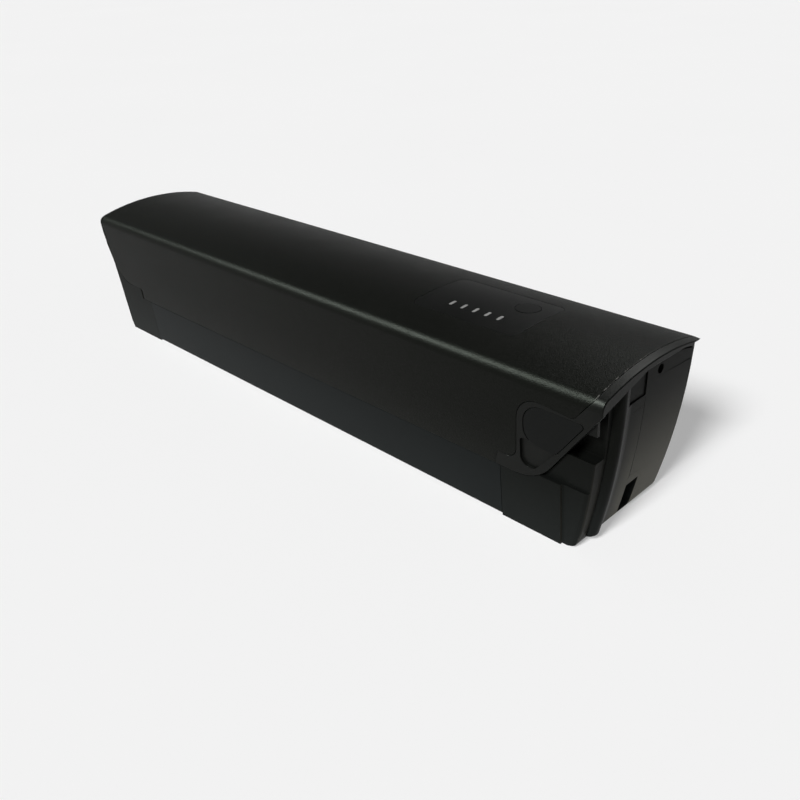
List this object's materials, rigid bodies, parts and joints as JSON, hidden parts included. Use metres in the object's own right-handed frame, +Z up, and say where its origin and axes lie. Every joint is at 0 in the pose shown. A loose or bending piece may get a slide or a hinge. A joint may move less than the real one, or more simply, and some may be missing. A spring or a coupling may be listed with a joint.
{
  "type": "battery pack",
  "caption": "Long removable bicycle battery pack with a crowned cover, moulded end caps, a charge indicator with push button and a hinged charging port cover.",
  "frame": {"origin": "on the resting plane, under the middle of the pack's length and width", "axes": "+X along the pack towards the end with the charging port, +Y away from the port side, +Z up to the crowned cover"},
  "size_m": [0.444, 0.0882, 0.095],
  "materials": {
    "shell_coat": "black powder coat with a fine sand grain",
    "case_plastic": "black moulded, fine satin",
    "cap_plastic": "black moulded, satin",
    "trim_plastic": "black moulded, satin",
    "cover_rubber": "black, soft matte",
    "socket_plastic": "black, plain",
    "contact_metal": "plated",
    "steel": "zinc plated",
    "panel_film": "black film, fine matte",
    "window_plastic": "frosted",
    "button_rubber": "black, matte",
    "switch_plastic": "plain",
    "board": "green solder mask",
    "cell_sleeve": "blue heat-shrink sleeve",
    "holder_plastic": "black, plain",
    "nickel": "bright nickel",
    "sheet_paper": "insulating paper",
    "foam": "closed-cell foam",
    "sink_metal": "plain extruded",
    "socket_white": "natural",
    "ribbon": "insulated ribbon",
    "fuse_plastic": "amber",
    "lead_red": "silicone",
    "lead_black": "silicone",
    "seal_rubber": "silicone"
  },
  "bodies": {
    "pack": {"top_shell": "shell_coat", "lower_case": "case_plastic", "port_end_cap": "cap_plastic", "port_trim_arch": "trim_plastic", "connector_end_cap": "cap_plastic", "charge_socket": "socket_plastic", "charge_pin": "contact_metal", "charge_nut": "steel", "indicator_panel": "panel_film", "light_windows": "window_plastic", "switch_body": "socket_plastic", "indicator_board": "board", "indicator_lamps": "window_plastic", "indicator_screws": "steel", "cell_group_01": "cell_sleeve", "cell_group_02": "cell_sleeve", "cell_group_03": "cell_sleeve", "cell_group_04": "cell_sleeve", "cell_group_05": "cell_sleeve", "cell_group_06": "cell_sleeve", "cell_group_07": "cell_sleeve", "cell_group_08": "cell_sleeve", "cell_group_09": "cell_sleeve", "cell_group_10": "cell_sleeve", "cell_group_11": "cell_sleeve", "cell_group_12": "cell_sleeve", "cell_group_13": "cell_sleeve", "holder_port_side": "holder_plastic", "holder_plain_side": "holder_plastic", "strips_port_side": "nickel", "strips_plain_side": "nickel", "sheet_port_side": "sheet_paper", "sheet_plain_side": "sheet_paper", "pad_bottom": "foam", "pad_top": "foam", "control_board": "board", "control_switches": "socket_plastic", "heat_sink": "sink_metal", "control_screws": "steel", "balance_socket": "socket_white", "balance_ribbon": "ribbon", "fuse_holder": "socket_plastic", "fuse_blade": "fuse_plastic", "positive_lead": "lead_red", "negative_lead": "lead_black", "block_lead": "lead_black", "charge_leads": "lead_red", "indicator_ribbon": "ribbon", "plug_housing": "socket_plastic", "plug_blades": "contact_metal", "plug_pins": "contact_metal", "seal_port_end": "seal_rubber", "seal_connector_end": "seal_rubber", "parting_seals": "seal_rubber", "case_screws": "steel"},
    "cover": {"charge_cover": "cover_rubber"},
    "button": {"power_button": "button_rubber", "switch_plunger": "switch_plastic"}
  },
  "joints": [
    {"name": "cover_hinge", "type": "hinge", "parent": "pack", "child": "cover", "pos_m": [0.195, -0.04344, 0.075], "axis": [-1, 0, 0], "range_deg": [0, 110]},
    {"name": "button_press", "type": "slide", "parent": "pack", "child": "button", "axis": [0, 0, -1], "range_m": [0, 0.0008], "stiffness_N_per_m": 1500}
  ]
}
